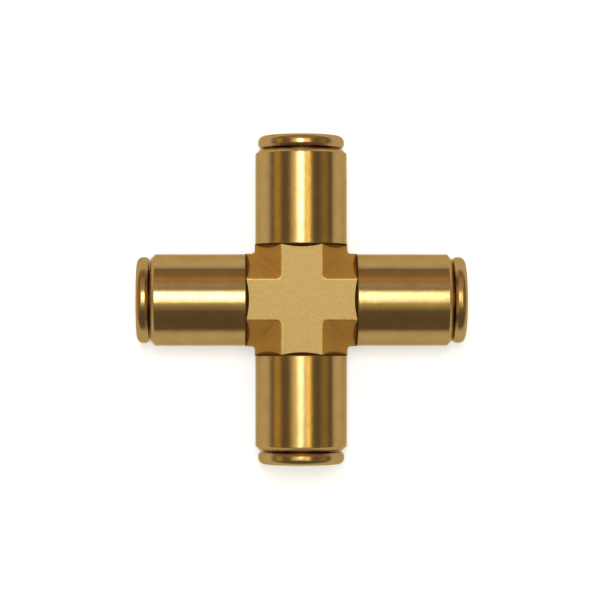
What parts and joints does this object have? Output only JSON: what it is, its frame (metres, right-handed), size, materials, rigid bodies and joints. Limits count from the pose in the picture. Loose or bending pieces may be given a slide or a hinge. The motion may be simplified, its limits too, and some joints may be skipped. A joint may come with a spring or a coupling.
{
  "type": "push-in cross tube fitting",
  "caption": "Brass push-in cross fitting: a forged hexagonal-section cross joining tube ports in one plane, each closed by a sliding flanged release collar.",
  "frame": {"origin": "the point where the port axes cross, at the middle of the forged block", "axes": "+X and +Y along two neighbouring ports, outwards; +Z square to the port plane, out of one cross-shaped flat, and up when the fitting lies on a table"},
  "size_m": [0.045, 0.045, 0.0126],
  "materials": {
    "forged_brass": "forged and blasted block, fine-turned arms",
    "collar_brass": "fine-turned, bright",
    "sleeve_brass": "turned",
    "spring_stainless": "ground, spring hard",
    "natural_acetal": "turned, satin",
    "nitrile_rubber": "moulded, lightly greased"
  },
  "bodies": {
    "fitting_body": {"cross_body": "forged_brass", "o_ring_right": "nitrile_rubber", "spacer_ring_right": "natural_acetal", "retaining_sleeve_right": "sleeve_brass", "o_ring_back": "nitrile_rubber", "spacer_ring_back": "natural_acetal", "retaining_sleeve_back": "sleeve_brass", "o_ring_left": "nitrile_rubber", "spacer_ring_left": "natural_acetal", "retaining_sleeve_left": "sleeve_brass", "o_ring_front": "nitrile_rubber", "spacer_ring_front": "natural_acetal", "retaining_sleeve_front": "sleeve_brass"},
    "collar_right": {"release_collar_right": "collar_brass", "gripping_collet_right": "spring_stainless"},
    "collar_back": {"release_collar_back": "collar_brass", "gripping_collet_back": "spring_stainless"},
    "collar_left": {"release_collar_left": "collar_brass", "gripping_collet_left": "spring_stainless"},
    "collar_front": {"release_collar_front": "collar_brass", "gripping_collet_front": "spring_stainless"}
  },
  "joints": [
    {"name": "collar_right_slide", "type": "slide", "parent": "fitting_body", "child": "collar_right", "axis": [1, 0, 0], "range_m": [-0.00012, 0.001]},
    {"name": "collar_back_slide", "type": "slide", "parent": "fitting_body", "child": "collar_back", "axis": [0, 1, 0], "range_m": [-0.00012, 0.001]},
    {"name": "collar_left_slide", "type": "slide", "parent": "fitting_body", "child": "collar_left", "axis": [-1, 0, 0], "range_m": [-0.00012, 0.001]},
    {"name": "collar_front_slide", "type": "slide", "parent": "fitting_body", "child": "collar_front", "axis": [0, -1, 0], "range_m": [-0.00012, 0.001]}
  ]
}
